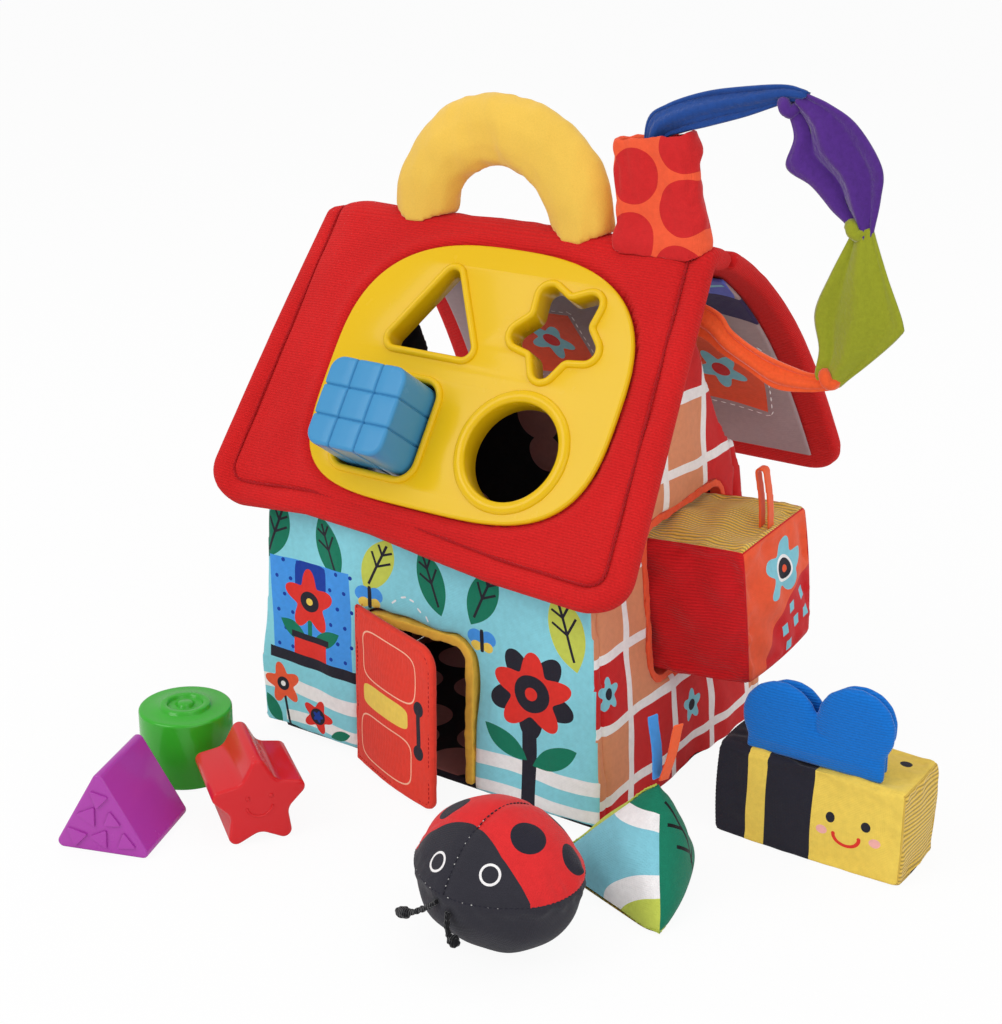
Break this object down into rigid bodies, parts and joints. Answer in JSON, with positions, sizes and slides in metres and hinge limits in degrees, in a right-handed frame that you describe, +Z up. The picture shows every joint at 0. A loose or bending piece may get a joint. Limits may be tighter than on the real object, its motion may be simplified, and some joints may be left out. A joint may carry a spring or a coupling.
{
  "type": "soft activity house",
  "caption": "Soft fabric toy house with a moulded shape sorter in its roof, a lifting roof flap, a door, a stuffed handle, a chimney with kerchiefs, and loose play pieces.",
  "frame": {"origin": "middle of the house's base, on the floor", "axes": "+Z up, -Y out of the door wall, +X towards the wall with the stuffed block"},
  "size_m": [0.3139, 0.3183, 0.2978],
  "materials": {
    "red_fleece": "fleece",
    "yellow_plastic": "gloss",
    "yellow_plush": "plush",
    "sky_cotton": "printed cotton",
    "check_cotton": "printed cotton",
    "navy_cotton": "cotton",
    "mustard_cotton": "cotton binding",
    "orange_cotton": "cotton binding",
    "red_cotton": "cotton binding",
    "door_cotton": "printed cotton",
    "lining_cotton": "printed lining",
    "patch_fabric": "hook-and-loop",
    "chimney_cotton": "printed cotton",
    "blue_plush": "plush",
    "purple_plush": "plush",
    "green_satin": "satin",
    "orange_satin": "satin",
    "block_cotton": "cotton and corduroy",
    "orange_ribbon": "satin ribbon",
    "blue_ribbon": "satin ribbon",
    "bee_cotton": "cotton and corduroy",
    "wing_cord": "corduroy",
    "ladybird_cotton": "cotton",
    "black_cord": "braided cord",
    "pyramid_cotton": "cotton and corduroy",
    "blue_plastic": "gloss",
    "green_plastic": "gloss",
    "purple_plastic": "gloss",
    "red_plastic": "gloss"
  },
  "bodies": {
    "house": {"floor_panel": "navy_cotton", "front_wall": "sky_cotton", "door_surround": "mustard_cotton", "back_wall": "check_cotton", "right_gable_wall": "check_cotton", "left_gable_wall": "check_cotton", "block_port_binding": "orange_cotton", "pyramid_port_binding": "red_cotton", "roof_front_panel": "red_fleece", "sorter_plate": "yellow_plastic", "chimney": "chimney_cotton", "closure_patch_wall": "patch_fabric"},
    "roof_flap": {"roof_flap_panel": "red_fleece", "roof_flap_lining": "lining_cotton", "closure_patch_flap": "patch_fabric"},
    "door": {"door_flap": "door_cotton"},
    "handle": {"handle": "yellow_plush"},
    "scarf_chain": {"scarf_blue": "blue_plush", "scarf_purple": "purple_plush", "scarf_green": "green_satin", "scarf_orange": "orange_satin"},
    "wall_block": {"wall_block": "block_cotton", "wall_block_loop": "orange_ribbon"},
    "blue_cube": {"blue_cube": "blue_plastic"},
    "green_cylinder": {"green_cylinder": "green_plastic"},
    "purple_prism": {"purple_prism": "purple_plastic"},
    "red_star": {"red_star": "red_plastic"},
    "ladybird": {"ladybird_body": "ladybird_cotton", "ladybird_left_antenna": "black_cord", "ladybird_right_antenna": "black_cord"},
    "pyramid": {"pyramid_body": "pyramid_cotton", "pyramid_blue_ribbon": "blue_ribbon", "pyramid_orange_ribbon": "orange_ribbon"},
    "bee": {"bee_body": "bee_cotton"},
    "front_wings": {"bee_front_wings": "wing_cord"},
    "rear_wings": {"bee_rear_wings": "wing_cord"}
  },
  "joints": [
    {"name": "roof_flap_hinge", "type": "hinge", "parent": "house", "child": "roof_flap", "pos_m": [0, 0.01411, 0.2241], "axis": [1, 0, 0], "range_deg": [-16, 100]},
    {"name": "door_hinge", "type": "hinge", "parent": "house", "child": "door", "pos_m": [-0.0335, -0.074, 0.04], "axis": [0, 0, 1], "range_deg": [-48, 19.5]},
    {"name": "handle_tilt", "type": "hinge", "parent": "house", "child": "handle", "pos_m": [-0.0095, -0.0001, 0.22146], "axis": [1, 0, 0], "range_deg": [-10, 10], "stiffness_Nm_per_rad": 0.6},
    {"name": "scarf_swing", "type": "hinge", "parent": "house", "child": "scarf_chain", "pos_m": [0.065, -0.003, 0.272], "axis": [0.3738, 0, -0.9275], "range_deg": [-4, 12]},
    {"name": "wall_block_slide", "type": "slide", "parent": "house", "child": "wall_block", "axis": [0.9969, 0, 0.0785], "range_m": [0, 0.07]},
    {"name": "cube_slide", "type": "slide", "parent": "house", "child": "blue_cube", "axis": [0, -0.829, 0.5592], "range_m": [0, 0.06]},
    {"name": "cylinder_lift", "type": "slide", "parent": "house", "child": "green_cylinder", "axis": [0, 0, 1], "range_m": [0, 0.1]},
    {"name": "prism_lift", "type": "slide", "parent": "house", "child": "purple_prism", "axis": [0, 0, 1], "range_m": [0, 0.1]},
    {"name": "star_lift", "type": "slide", "parent": "house", "child": "red_star", "axis": [0, 0, 1], "range_m": [0, 0.1]},
    {"name": "ladybird_lift", "type": "slide", "parent": "house", "child": "ladybird", "axis": [0, 0, 1], "range_m": [0, 0.1]},
    {"name": "pyramid_lift", "type": "slide", "parent": "house", "child": "pyramid", "axis": [0, 0, 1], "range_m": [0, 0.1]},
    {"name": "bee_lift", "type": "slide", "parent": "house", "child": "bee", "axis": [0.6301, -0.6301, 0.4537], "range_m": [0, 0.1]},
    {"name": "front_wings_bend", "type": "hinge", "parent": "bee", "child": "front_wings", "pos_m": [0.16332, -0.0332, 0.04045], "axis": [1, 0, 0], "range_deg": [-3, 35], "stiffness_Nm_per_rad": 0.03},
    {"name": "rear_wings_bend", "type": "hinge", "parent": "bee", "child": "rear_wings", "pos_m": [0.16375, -0.0254, 0.04126], "axis": [1, 0, 0], "range_deg": [-8, 3], "stiffness_Nm_per_rad": 0.03}
  ]
}
